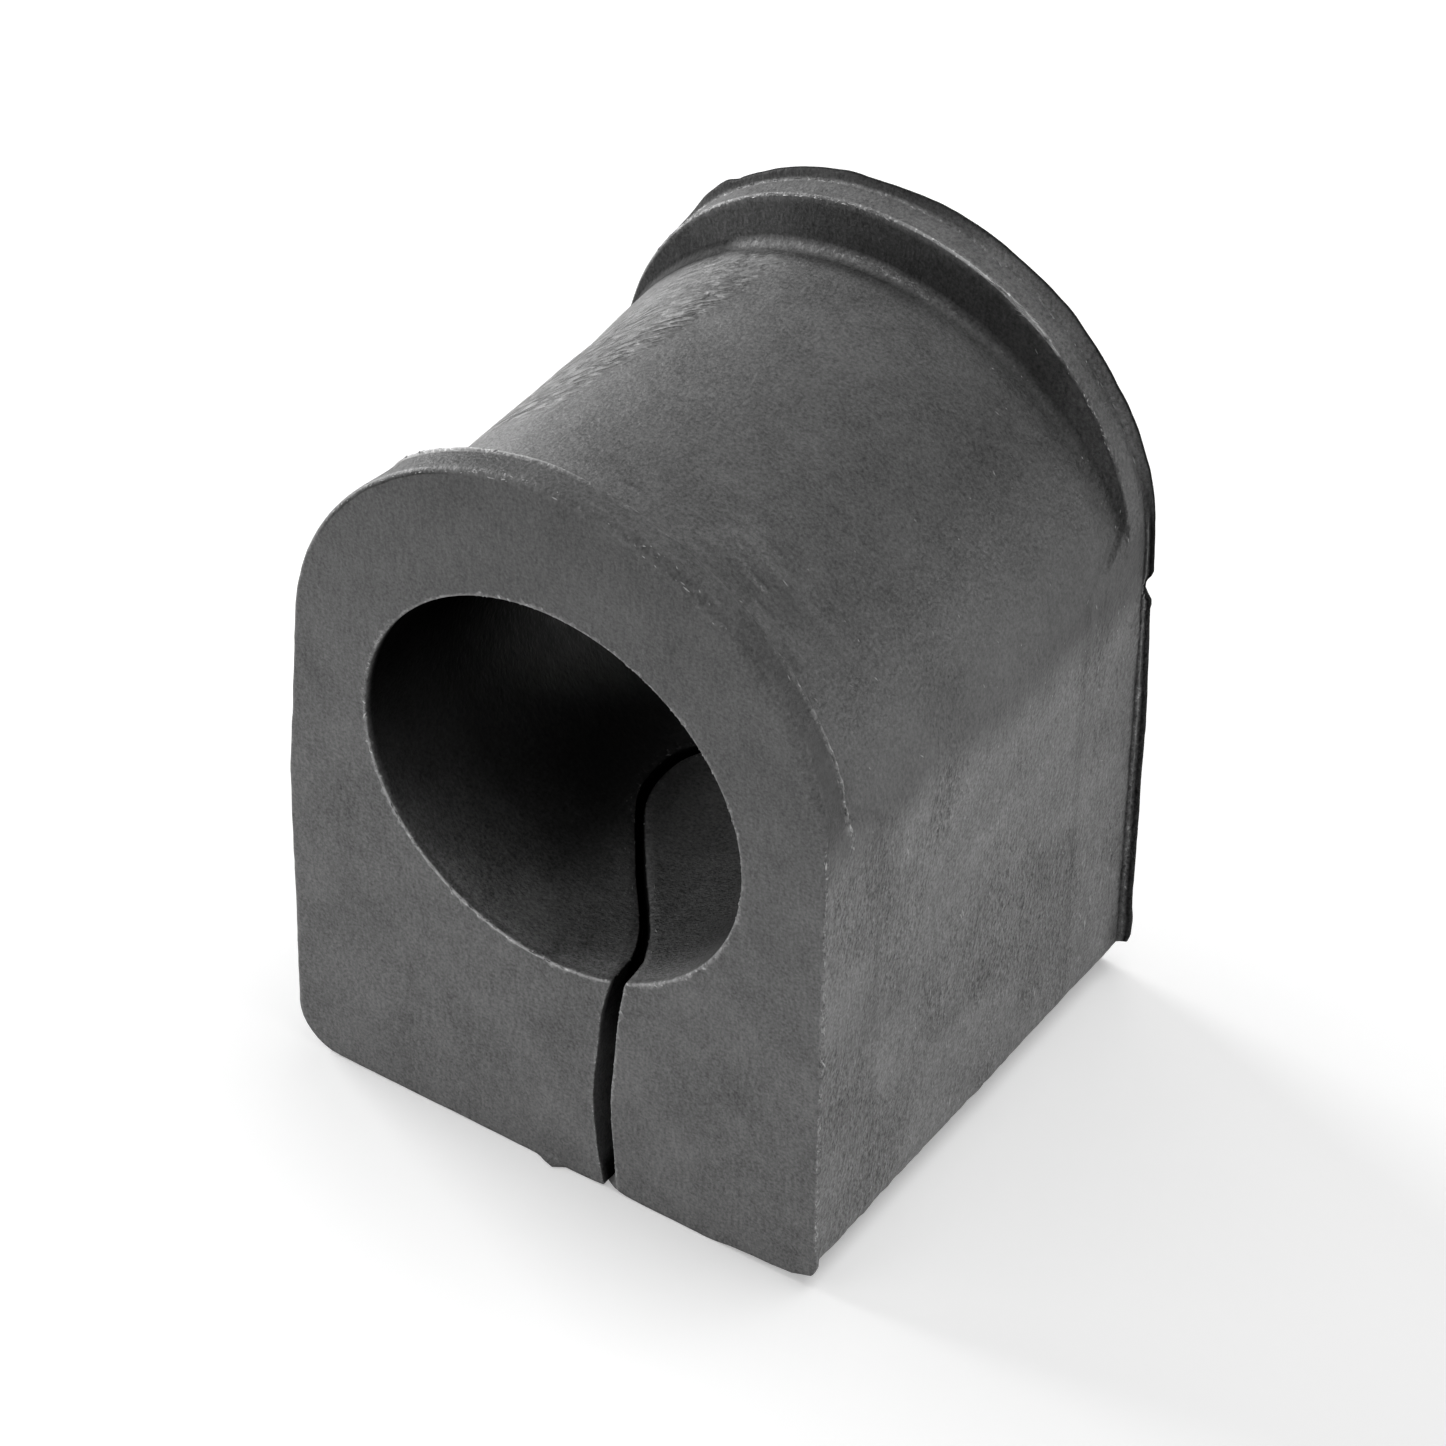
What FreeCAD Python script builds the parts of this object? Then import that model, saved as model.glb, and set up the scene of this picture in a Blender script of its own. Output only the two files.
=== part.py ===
import FreeCAD, Part
import math
import os

# Sway bar bushing, one rubber moulding, in millimetres.
# The bar runs along Y and the foot faces down (-Z).
# The origin is on the bore's axis, halfway between the two end faces.
# The front end face is at -Y and the rear one at +Y.

# Block
length = 31.5                 # front end face to rear end face
width = 34.5                  # flank to flank at the foot, before the left leg's splay
bore_diameter = 24.0
foot_wall = 15.0              # rubber under the bore, down to the foot
crown_wall = 8.0              # rubber over the bore at the collars
foot_corner_radius = 2.8      # the two long lower edges
foot_trim = 0.05              # cut off below them, which leaves the foot flat
mould_shift = 0.3             # the upper mould half sits this far to the right
front_rim_radius = 0.3        # rounding of the front end face's outline

# Left leg, pushed out a little by the open slit
splay = 0.2                   # how far the left foot stands out
shoulder_height = 20.0        # above the foot, where the left flank turns towards the arch
shoulder_reach = 0.05         # how far the left flank stands out at the shoulder
left_draw = 0.9               # how far the left flank draws in from the front end face to the rear

# Waist between the collars
collar_width = 2.0            # along the bore, at both ends
waist_wall = 4.5              # rubber over the bore between the collars
waist_run_out = 3.0           # above the bore's axis, where the waist meets the flanks
waist_root_radius = 0.6       # hollow rounding where the waist meets a collar

# Moulding flash
flash_height = 0.5            # stands out round the rear end face
flash_thickness = 0.4
flash_end_height = 2.2        # above the foot, where the rear flash stops
tear_height = 1.4             # above the bore's axis, middle of the torn place in the rear flash
tear_length = 2.9             # torn length of the rear flash
corner_web_thickness = 0.5    # thin web across the right front foot corner
corner_web_cut = 0.8          # the web's lower tip, above the foot
corner_web_slope = 3.6        # length over which the web's lower edge rises

# Slit through the foot, stepped along the bore and bowed in height
slit_gap_end = 1.05           # at the end faces
slit_gap_inner = 0.6          # along the inner runs
slit_middle = 0.3             # sideways, the line halfway between the straight runs
slit_jog = 3.9                # from that line to each straight run
slit_lead = 3.0               # straight run at each end face
slit_tongue = 4.7             # straight run at mid length
slit_bow_radius = 40.0
slit_bow_height = 6.0         # above the foot, where the bow reaches furthest left

# Places worked out from the sizes
bore_radius = bore_diameter / 2
foot_z = -(bore_radius + foot_wall)
front_y = -length / 2
rear_y = length / 2
flank_x = width / 2
crown_z = bore_radius + crown_wall
arch_radius = flank_x - mould_shift   # at the front end face
waist_top_z = bore_radius + waist_wall
clear = 5.0                   # how far large cutting shapes pass beyond the block
overrun = 1.0                 # how far the slit's shape passes beyond the foot and the end faces
slit_rise = 2.5               # how far it reaches up into the bore


def point(x, y, z):
    return FreeCAD.Vector(x, y, z)


def line(start, end):
    return Part.LineSegment(start, end).toShape()


def arc(start, middle, end):
    return Part.Arc(start, middle, end).toShape()


def draw_at(y):
    """How far the left flank has drawn in at y."""
    return left_draw * (y - front_y) / length


def arch(y):
    """The collar arch at y, between the right flank and the drawn-in left one: radius and centre."""
    radius = arch_radius - draw_at(y) / 2
    return radius, point(flank_x - radius, y, crown_z - radius)


def on_arch(y, angle):
    """Point of the collar arch at y, at an angle from the right flank."""
    radius, centre = arch(y)
    return centre + point(radius * math.cos(angle), 0, radius * math.sin(angle))


def arch_end(y, shoulder):
    """Angle at which the left flank, a line from its shoulder, touches the collar arch."""
    radius, centre = arch(y)
    reach = shoulder - centre
    lean = math.acos(radius / reach.Length) + math.atan2(reach.z, -reach.x)
    return math.pi - lean


def outline(y):
    """Outline of the block at y: foot, right flank, arch, left flank with its shoulder."""
    r = foot_corner_radius
    nip = r * (1 - math.sqrt(0.5))
    low = foot_z - foot_trim
    left_foot_x = -flank_x - splay + draw_at(y)
    shoulder = point(-flank_x - shoulder_reach + draw_at(y), y, foot_z + shoulder_height)
    end_angle = arch_end(y, shoulder)
    foot_left = point(left_foot_x + r, y, low)
    foot_right = point(flank_x - r, y, low)
    right_low = point(flank_x, y, low + r)
    right_high = on_arch(y, 0)
    left_high = on_arch(y, end_angle)
    left_low = point(left_foot_x, y, low + r)
    edges = [
        line(foot_left, foot_right),
        arc(foot_right, point(flank_x - nip, y, low + nip), right_low),
        line(right_low, right_high),
        arc(right_high, on_arch(y, end_angle / 2), left_high),
        line(left_high, shoulder),
        line(shoulder, left_low),
        arc(left_low, point(left_foot_x + nip, y, low + nip), foot_left),
    ]
    return Part.Wire(edges)


def block():
    """The plain block, narrower at the rear, its foot trimmed flat and its front rim rounded."""
    solid = Part.makeLoft([outline(front_y), outline(rear_y)], True, True)
    span = width + 2 * clear
    corner = point(-span / 2, front_y - clear, foot_z - clear)
    solid = solid.cut(Part.makeBox(span, length + 2 * clear, clear, corner))
    rim = [edge for edge in solid.Edges if edge.CenterOfMass.y < front_y + front_rim_radius]
    return solid.makeFillet(front_rim_radius, rim)


def waist_tool():
    """Ring that cuts the waist: it clears the arch between the collars, with rounded inner corners."""
    rise = waist_top_z - waist_run_out
    radius = (arch_radius ** 2 + rise ** 2) / (2 * rise)
    centre = point(mould_shift, 0, waist_top_z - radius)
    r = waist_root_radius
    nip = r * (1 - math.sqrt(0.5))
    y0 = front_y + collar_width
    y1 = rear_y - collar_width
    low = centre.z + radius
    high = crown_z + clear
    x = mould_shift
    edges = [
        line(point(x, y0, high), point(x, y0, low + r)),
        arc(point(x, y0, low + r), point(x, y0 + nip, low + nip), point(x, y0 + r, low)),
        line(point(x, y0 + r, low), point(x, y1 - r, low)),
        arc(point(x, y1 - r, low), point(x, y1 - nip, low + nip), point(x, y1, low + r)),
        line(point(x, y1, low + r), point(x, y1, high)),
        line(point(x, y1, high), point(x, y0, high)),
    ]
    face = Part.Face(Part.Wire(edges))
    face.rotate(centre, point(0, 1, 0), -90)
    return face.revolve(centre, point(0, 1, 0), 180)


def rear_flash():
    """Thin flash round the rear end face, stopped above the foot and torn on the right."""
    wide = outline(rear_y - flash_thickness).makeOffset2D(flash_height, 0, False, False, True)
    rim = Part.Face(wide).extrude(point(0, flash_thickness, 0))
    span = width + 2 * clear
    below = Part.makeBox(span, length, clear + flash_end_height, point(-span / 2, 0, foot_z - clear))
    tear_radius = (tear_length ** 2 / 4 + flash_height ** 2) / (2 * flash_height)
    middle = point(flank_x + tear_radius, 0, tear_height)
    tear = Part.makeCylinder(tear_radius, length, middle, point(0, 1, 0))
    return rim.cut(below).cut(tear)


def corner_web():
    """Web of flash in the front plane that squares the right foot corner off."""
    y = front_y
    r = foot_corner_radius
    start = point(flank_x - corner_web_slope, y, foot_z)
    tip = point(flank_x - front_rim_radius, y, foot_z + corner_web_cut)
    top = point(flank_x - front_rim_radius, y, foot_z + r)
    inner = point(flank_x - corner_web_slope, y, foot_z + r)
    web = Part.Face(Part.Wire([line(start, tip), line(tip, top), line(top, inner), line(inner, start)]))
    return web.extrude(point(0, corner_web_thickness, 0))


def bow(z):
    """Sideways place of the bowed slit at height z, zero at the bottom of the bore."""
    deepest = foot_z + slit_bow_height
    lip = -bore_radius
    reach = math.sqrt(slit_bow_radius ** 2 - (lip - deepest) ** 2)
    return reach - math.sqrt(slit_bow_radius ** 2 - (z - deepest) ** 2)


def slit_section(x, y, gap):
    """Bowed strip in the plane y, from below the foot up into the bore."""
    low = foot_z - overrun
    high = -bore_radius + slit_rise
    heights = (low, (low + high) / 2, high)
    left = [point(x - gap / 2 + bow(z), y, z) for z in heights]
    right = [point(x + gap / 2 + bow(z), y, z) for z in heights]
    edges = [
        line(left[0], right[0]),
        arc(right[0], right[1], right[2]),
        line(right[2], left[2]),
        arc(left[2], left[1], left[0]),
    ]
    return Part.Wire(edges)


def slit():
    """The stepped slit: straight, slanting to the left, straight at mid length, and back."""
    near = slit_middle + slit_jog
    far = slit_middle - slit_jog
    gap_at_step = (slit_gap_end + slit_gap_inner) / 2
    stations = [
        (near, front_y - overrun, slit_gap_end),
        (near, front_y + slit_lead, gap_at_step),
        (far, -slit_tongue / 2, slit_gap_inner),
        (far, slit_tongue / 2, slit_gap_inner),
        (near, rear_y - slit_lead, gap_at_step),
        (near, rear_y + overrun, slit_gap_end),
    ]
    sections = [slit_section(x, y, gap) for x, y, gap in stations]
    return Part.makeLoft(sections, True, True)


def bore():
    reach = length + 2 * clear
    return Part.makeCylinder(bore_radius, reach, point(0, -reach / 2, 0), point(0, 1, 0))


def bushing():
    solid = block().cut(waist_tool())
    solid = solid.fuse([rear_flash(), corner_web()]).removeSplitter()
    return solid.cut(bore()).cut(slit())


os.makedirs("parts", exist_ok=True)
moulding = bushing()
moulding.exportStep("parts/rubber_bushing.step")
print("solids", len(moulding.Solids), "valid", moulding.isValid(), "volume", round(moulding.Volume, 1))
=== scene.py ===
import math

import bmesh
import bpy
import numpy as np
from mathutils import Matrix, Vector
from mathutils.geometry import delaunay_2d_cdt


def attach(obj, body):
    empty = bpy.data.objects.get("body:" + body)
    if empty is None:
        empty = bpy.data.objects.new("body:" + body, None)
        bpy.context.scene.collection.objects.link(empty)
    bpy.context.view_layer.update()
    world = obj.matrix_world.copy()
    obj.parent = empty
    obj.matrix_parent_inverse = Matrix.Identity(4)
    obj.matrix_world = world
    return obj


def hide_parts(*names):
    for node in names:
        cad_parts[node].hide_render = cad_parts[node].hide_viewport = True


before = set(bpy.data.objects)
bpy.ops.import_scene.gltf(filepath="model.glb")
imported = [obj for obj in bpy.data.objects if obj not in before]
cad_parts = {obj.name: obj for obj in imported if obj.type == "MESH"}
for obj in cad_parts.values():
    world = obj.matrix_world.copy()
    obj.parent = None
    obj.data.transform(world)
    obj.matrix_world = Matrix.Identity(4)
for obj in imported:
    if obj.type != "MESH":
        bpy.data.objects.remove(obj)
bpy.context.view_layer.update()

# Sizes in millimetres, in the CAD's frame: bore along Y, foot down, front end face at -Y.
MM = 0.001
FRONT_Y = -15.75
REAR_Y = 15.75
FOOT_Z = -27.0
FLANK_X = 17.25
SHIFT = 0.3              # the arch sits this much to the right
BORE_R = 12.0
CROWN_Z = 20.0
CORNER_R = 2.8
SPLAY = 0.3              # how far the left foot stands out, 0.1 more than the solid's
SHOULDER_Z = -7.0
SHOULDER_OUT = 0.15      # also 0.1 more than the solid's
LEFT_DRAW = 0.9          # the left flank stands this much further in at the rear
COLLAR = 2.0
WAIST_TOP = 16.5
WAIST_RUN_OUT = 3.0
ROOT_R = 0.6
REAR_EDGE_R = 0.16       # rounding of the rear collar's inner edge
WALL_LEAN = 0.06         # how far the collars' inner walls lean
FLASH_Y = 0.4            # thickness of the rear fin

# The slit's edges on the front face: height above the foot, x.
SLIT_LEFT = [(0, 3.42), (1.1, 3.19), (2.9, 2.93), (4.8, 2.74), (6.5, 2.64), (8.8, 2.82),
             (10.9, 3.03), (13, 3.24), (15.1, 3.72), (17, 4.35)]
SLIT_RIGHT = [(0, 4.27), (0.6, 4.22), (2.4, 4.09), (4.6, 3.92), (6.6, 3.84), (9.4, 4.04),
              (11.5, 4.18), (13.6, 4.38), (15.7, 4.72), (17, 5.05)]
# Its sideways path along the bore, from the front face: y from the face, shift of x.
SLIT_HALF_PATH = [(0, 0), (1.4, -0.1), (2.1, -0.2), (3.15, -0.6), (4.15, -1.08), (6, -2.28),
                  (8.4, -4.12), (10.7, -5.82), (12.1, -6.84), (13, -7.4), (13.8, -7.75), (14.6, -7.93)]
SLIT_PATH = (SLIT_HALF_PATH + [(15.75, -8)]
             + [(REAR_Y - FRONT_Y - y, shift) for y, shift in reversed(SLIT_HALF_PATH)])
# Height of the rear fin round the arch: angle from +X about the rear arch's centre, height.
FIN_HEIGHT = [(-8, 0.4), (-0.5, 0.38), (3, 0.36), (6.4, 0.41), (9.8, 0.5), (13, 0.56),
              (22.4, 0.61), (31.7, 0.68), (41, 0.74), (47.3, 0.83), (50.5, 0.92), (54, 0.9),
              (57.5, 0.87), (69.3, 0.88), (77.4, 0.85), (81.6, 0.79), (85.8, 0.69), (90, 0.6),
              (94.3, 0.56), (98.5, 0.63), (107, 0.65), (116.5, 0.59), (122, 0.55),
              (126.3, 0.51), (127.5, 0.5), (128.4, 0.56), (130.3, 0.68), (131.5, 0.66),
              (134.2, 0.58), (137.1, 0.47), (138.7, 0.37), (140.5, 0.27), (144, 0.16),
              (152, 0.2), (170, 0.3), (190, 0.3)]
# Height of the fin on the right flank, with its torn place: z, height.
FIN_FLANK = [(-24.95, 0), (-24.7, 0.62), (-24.2, 0.75), (-23.1, 0.76), (-20.8, 0.67),
             (-14, 0.66), (-7.5, 0.65), (-5.4, 0.57), (-3.3, 0.49), (-1, 0.41), (-0.33, 0.4),
             (-0.07, 0.52), (0.13, 0.5), (0.29, 0.38), (0.43, 0.24), (0.58, 0.11), (0.74, 0),
             (0.95, -0.06), (1.14, -0.04), (1.4, 0.06), (1.67, 0.19), (1.9, 0.38), (2.05, 0.44),
             (2.2, 0.46), (2.8, 0.41), (3.6, 0.38)]
# Lower edge of the web that squares off the right front corner: x, height above the foot.
WEB_EDGE = [(10.6, 0), (11.86, 0.2), (13.16, 0.29), (14.46, 0.33), (15.76, 0.41), (17.04, 0.95),
            (17.25, 2.8)]
WEB_LOW_SHARE = 0.62     # of the corner's points, how many lie on that lower edge
WEB_Y = 0.45             # the web's thickness
NIB_HEIGHT = 0.55        # nib of flash on the front lower edge
NIB_X = 0.1
NIB_WIDTHS = (1.3, 0.6)  # to its left and to its right
RIM_LINE = 0.07          # from an end face's rim to the ring of points just inside it

# The waist has sunk a little on the left: depth, share by y, and the angles where it fades in and out.
SAG = 0.34
SAG_ALONG = [(-13.5, 0.45), (-4.6, 0.6), (1, 0.8), (4, 0.7), (7, 0.95), (10.6, 0.4), (13.5, 0.15)]
SAG_IN, SAG_OUT = (113, 136), (150, 167)
# Its wrinkled part: from and to angle by y, and strength by y.
WRINKLE_FROM = [(-4, 117), (0, 115), (3, 111), (7, 107), (12, 104)]
WRINKLE_TO = [(-4, 160), (1, 158), (4, 146), (8, 132), (12, 122)]
WRINKLE_ALONG = [(-3, 1.5), (2, 1.3), (5, 0.9), (9, 0.55), (13, 0.35)]
# Flow marks behind the front collar: middle and spread, by angle and by y.
FLOW_ANGLE, FLOW_Y = (52, 14), (-9.6, 2.6)

# Painted light and shade, as a share of tone: lighter where the light falls more, darker where it falls
# less.
FLANK_PAINTED_LIGHT = [(-12, 0.46), (0, 0.4), (10, 0.25)]   # what it adds on the right flank, by y
ARCH_PAINTED_SHADE = 0.27                                   # what it lacks on the arch over it
ARCH_SHADE_BY_ANGLE = [(20, 1.2), (55, 1), (75, 0.25), (100, 0)]   # where on the arch, by angle
FACE_PAINTED_LIGHT = [(-27, 1.08), (-14, 1.03), (-4, 0.97), (2, 0.9), (6, 0.81), (18, 0.63)]   # painted light on the front face, lighter towards the foot, by z
BORE_PAINTED_SHADING = [(-11.5, 1.95), (-10, 1.8), (-8, 1.15), (-6, 0.6), (-2, 0.2), (4, 0.1)]   # painted light and shade in the bore, lighter low down, by z
BORE_SHADE_FALL = [(-14, 1.3), (-11.5, 1.2), (-8.2, 0.37), (-4, 0.15), (1, 0.06)]   # painted shade on the bore's left side, darker further in, by y
BAND_PAINTED_SHADING = [(25, 0.66), (35, 0.7), (50, 1.12), (62, 1.32), (94, 1.15), (112, 0.93)]   # painted light and shade on the rear band, by angle
WALL_PAINTED_LIGHT = [(8, 1.6), (25, 1.8), (38, 1.7), (52, 1.1), (60, 1)]                     # painted light on the rear collar's wall, by angle
# painted shade on the front collar, by angle; where it is below 0 it is painted light
COLLAR_PAINTED_SHADING = [(-2, 0), (2, -0.3), (4, -0.1), (8.4, 1), (13, 1.3), (18, 1.5), (25, 1.75),
               (33, 1.6), (40, 1.2), (60, 0), (75, -0.2), (88, 0.4), (106, 1.6), (135, 1.2), (150, 0)]

# Short grooves beside the front collar: from and to angle, y, depth.
SCRATCHES = [(50.5, 56, -9.5, 0.05), (46, 50, -10.6, 0.035), (34.5, 38.5, -11.6, 0.04),
             (58.5, 62.5, -8.4, 0.04), (53, 57.5, -7.2, 0.025), (64, 69, -10.2, 0.025),
             (86, 92, -9.3, 0.025)]
SCRATCH_WIDTH = 0.15
SCRATCH_END = 0.8        # degrees over which a groove fades
# Round the front arch, by angle from +X: radius of the front rim, and of the collar's rear edge.
RIM_RADIUS = [(0, 0.16), (8, 0.32), (22, 0.7), (45, 0.9), (80, 0.65), (100, 0.4), (118, 0.28),
              (140, 0.25), (190, 0.28)]
EDGE_RADIUS = [(-5, 0.12), (20, 0.14), (35, 0.35), (60, 0.5), (80, 0.4), (95, 0.16), (150, 0.12)]
# Height of the thin lip of flash that stands on the collars' inner edges, and its share at each row.
FRONT_LIP = [(-3, 0), (4, 0.1), (28, 0.08), (40, 0), (82, 0), (95, 0.14), (125, 0.14), (140, 0)]
FRONT_LIP_SHARES = (0.9, 1, 0.6, 0.2)
REAR_LIP = [(44, 0), (50, 0.12), (64, 0.12), (74, 0.04), (90, 0)]
REAR_LIP_SHARES = (0.4, 1, 0.8, 0.2)
# How pale the edges are, by the same angle: wear, with a painted glint on the rear collar's inner edge and a
# painted highlight in the rear hollow.
WEAR_FRONT_EDGE = [(-8, 0), (-5, 0.9), (2, 1.6), (24, 1.5), (34, 0.9), (42, 0.4), (60, 0.1),
                   (82, 0.5), (92, 1.6), (100, 2.3), (122, 2.3), (130, 1.2), (140, 0.45), (152, 0.6),
                   (168, 0)]
# painted glint: the peak from 49 to 66 degrees on the rear collar's inner edge
REAR_EDGE_WEAR_AND_GLINT = [(-4, 0), (0, 0.15), (20, 0.4), (45, 0.5), (49, 3), (53, 6), (61, 6), (66, 3.6),
                  (76, 2.2), (88, 1.5), (100, 0.7), (125, 0.7), (140, 1.6), (160, 0.8), (168, 0)]
# painted highlight on the rear hollow's rounding
ROOT_HIGHLIGHT = [(12, 0), (35, 0.15), (55, 0.3), (75, 0.7), (88, 1.2), (96, 0.8), (112, 0.7), (130, 0.4),
             (148, 0.15), (165, 0)]
WEAR_RIM = [(-5, 0.7), (2, 0.4), (10, 0.12), (30, 0.1), (50, 0.22), (95, 0.16), (112, 0.35), (140, 0.5),
            (160, 0.25), (185, 0.1)]
WEAR_FLANK_RIM, WEAR_FOOT_RIM = 1.15, 0.25
WEAR_FIN = [(8, 0), (20, 0.3), (40, 0.5), (60, 1.1), (110, 1.3), (125, 0.9), (150, 1.2), (170, 0.2)]
WEAR_FIN_FLANK = [(-25, 0.2), (-21, 0.5), (-14, 0.8), (-8, 1)]   # by z
# The same on the bore's front rim, by angle round the bore: wear, with painted highlight.
BORE_RIM_WEAR_AND_HIGHLIGHT = [(0, 0.9), (40, 0.9), (75, 1.5), (130, 1.6), (165, 1.2), (200, 2), (255, 2.4),
                 (290, 1.8), (330, 1.3), (360, 0.9)]
# Painted shade on the rear collar's wall, the waist beside the collars and the front crease, by angle.
WALL_PAINTED_SHADE = [(5, 0.35), (20, 0.15), (40, 0), (50, 0.2), (62, 0.4), (85, 0.6), (100, 0.5),
              (125, 0.36), (150, 0.7)]
CREASE_PAINTED_SHADE = [(8, 0.3), (70, 0.3), (88, 1), (150, 1), (165, 0)]
CREASE_PAINTED_SHADE_ROWS = ((0, 0.5), (1, 0.3), (-1, 0.7), (-2, 0.6), (-3, 0.35), (-4, 0.15))   # row, share
FRONT_CREASE_PAINTED_SHADE = [(110, 0), (118, 0.7), (146, 0.7), (156, 0)]
ROOT_IN_SHADE = (124, 133)   # angles over which the rear hollow loses its painted highlight and gets painted shade
# Along the fin, angles over which its painted light sets in and its painted shade comes up.
FIN_LIT, FIN_DARK = (12, 20), (62, 84)

CAP_SPACING = (0.42, 0.9)   # of the points on the front and the rear end face
N_FLOOR = 96             # stations along the waist
N_WALL = 20              # points up each wall of the slit
N_BORE = 112             # points round the bore
# Points along the foot's right part, the right corner, the right flank, the arch, the left flank's
# upper and lower part, the left corner and the foot's left part.
COUNTS = (22, 20, 84, 196, 22, 26, 8, 30)


def hashed(ix, iy, iz, seed):
    h = (ix.astype(np.uint32) * np.uint32(374761393)
         + iy.astype(np.uint32) * np.uint32(668265263)
         + iz.astype(np.uint32) * np.uint32(2246822519)
         + np.uint32((seed * 3266489917) & 0xFFFFFFFF))
    h = (h ^ (h >> np.uint32(13))) * np.uint32(1274126177)
    h = h ^ (h >> np.uint32(16))
    return h.astype(float) / 2147483647.5 - 1.0


def value_noise(p, seed):
    """Smooth noise from -1 to 1 at the points p, one bump to a unit."""
    cell = np.floor(p).astype(np.int64)
    f = p - cell
    f = f * f * (3 - 2 * f)
    total = np.zeros(p.shape[:-1])
    for corner in np.ndindex(2, 2, 2):
        w = np.where(corner, f, 1 - f)
        total += w[..., 0] * w[..., 1] * w[..., 2] * hashed(*np.moveaxis(cell + corner, -1, 0), seed)
    return total


def fbm(p, size, octaves, seed):
    """Layers of smooth noise, size across, each half as large and half as strong as the last."""
    total = np.zeros(p.shape[:-1])
    amp, norm = 1, 0.0
    scale = np.array(size, float)
    for k in range(octaves):
        total += amp * value_noise(p / scale * 2 ** k + 17.3 * k, seed + k)
        norm += amp
        amp *= 0.5
    return total / norm


def step(a, b, x):
    """Smooth step from 0 at a to 1 at b."""
    t = np.clip((x - a) / (b - a), 0, 1)
    return t * t * (3 - 2 * t)


def table(pairs, x):
    """Smooth curve through a table of (x, value)."""
    px = np.array([q[0] for q in pairs], float)
    py = np.array([q[1] for q in pairs], float)
    slope = np.gradient(py, px)
    k = np.clip(np.searchsorted(px, x) - 1, 0, len(px) - 2)
    h = px[k + 1] - px[k]
    t = np.clip((x - px[k]) / h, 0, 1)
    return ((2 * t ** 3 - 3 * t ** 2 + 1) * py[k] + (t ** 3 - 2 * t ** 2 + t) * h * slope[k]
            + (-2 * t ** 3 + 3 * t ** 2) * py[k + 1] + (t ** 3 - t ** 2) * h * slope[k + 1])


def lookup(pairs, x):
    """Straight lines through a table of (x, value)."""
    return np.interp(x, [q[0] for q in pairs], [q[1] for q in pairs])


# Outer outline
def arch_of(t):
    """Centre and radius of the collar's arch, for t from 0 at the front to 1 at the rear."""
    radius = FLANK_X - SHIFT - LEFT_DRAW / 2 * t
    return FLANK_X - radius, CROWN_Z - radius, radius


def crowded(n):
    """Shares of the way round the arch, closer together on the wrinkled left part."""
    f = np.linspace(0, 1, 2001)
    weight = 1 + 0.9 * np.exp(-((f - 0.71) / 0.13) ** 2)
    total = np.cumsum(weight)
    total = (total - total[0]) / (total[-1] - total[0])
    return np.interp(np.arange(n) / n, total, f)


def outline_points(t):
    """Outline from the slit round the right flank, the arch and the left one: x, z and normal."""
    cx, cz, radius = arch_of(t)
    draw = LEFT_DRAW * t
    sx, sz = -FLANK_X - SHOULDER_OUT + draw, SHOULDER_Z
    dx, dz = sx - cx, sz - cz
    lean = math.acos(radius / math.hypot(dx, dz)) + math.atan2(dz, -dx)
    left_foot = -FLANK_X - SPLAY + draw
    pts = []

    def straight(a, b, n, last=0):
        d = math.hypot(a[0] - b[0], a[1] - b[1])
        normal = ((b[1] - a[1]) / d, (a[0] - b[0]) / d)
        for k in range(n + last):
            f = k / n
            pts.append((a[0] + (b[0] - a[0]) * f, a[1] + (b[1] - a[1]) * f) + normal)

    def bend(c, r, a0, a1, shares):
        for f in shares:
            a = a0 + (a1 - a0) * f
            pts.append((c[0] + r * math.cos(a), c[1] + r * math.sin(a), math.cos(a), math.sin(a)))

    slit_r, slit_l = SLIT_RIGHT[0][1], SLIT_LEFT[0][1]
    straight((slit_r + 0.1, FOOT_Z), (FLANK_X - CORNER_R, FOOT_Z), COUNTS[0])
    corner = (FLANK_X - CORNER_R, FOOT_Z + CORNER_R)
    bend(corner, CORNER_R, -math.pi / 2, 0, np.arange(COUNTS[1]) / COUNTS[1])
    straight((FLANK_X, FOOT_Z + CORNER_R), (FLANK_X, cz), COUNTS[2])
    bend((cx, cz), radius, 0, math.pi - lean, crowded(COUNTS[3]))
    touch = (cx - radius * math.cos(lean), cz + radius * math.sin(lean))
    straight(touch, (sx, sz), COUNTS[4])
    straight((sx, sz), (left_foot, FOOT_Z + CORNER_R), COUNTS[5])
    corner = (left_foot + CORNER_R, FOOT_Z + CORNER_R)
    bend(corner, CORNER_R, math.pi, 1.5 * math.pi, np.arange(COUNTS[6]) / COUNTS[6])
    straight((left_foot + CORNER_R, FOOT_Z), (slit_l - 0.1, FOOT_Z), COUNTS[7] - 1, 1)
    return np.array(pts).T


START = np.concatenate([[0], np.cumsum(COUNTS)])
front_ring, rear_ring = outline_points(0), outline_points(1)
front_x, front_z = front_ring[:2]
n_outer = len(front_x)
place = np.arange(n_outer)
foot_right = np.zeros(n_outer)
foot_right[:COUNTS[0]] = 1 - np.arange(COUNTS[0]) / COUNTS[0]
foot_left = np.zeros(n_outer)
foot_left[-COUNTS[7]:] = np.arange(COUNTS[7]) / (COUNTS[7] - 1)
on_corner = (place >= START[1]) & (place < START[2])
on_flank = (place >= START[2]) & (place < START[3])
on_foot = (place < START[1]) | (place >= START[7])
front_angle = np.degrees(np.arctan2(front_z - arch_of(0)[1], front_x - arch_of(0)[0]))
front_angle = np.where(front_angle < -90, front_angle + 360, front_angle)


def slit_shift(y):
    return table(SLIT_PATH, y - FRONT_Y)


def slit_scale(y):
    """How wide the slit is at y, as a share of its width at the front face."""
    inner = step(0, 5, np.minimum(y - FRONT_Y, REAR_Y - y))
    return 1 - 0.28 * inner


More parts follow.
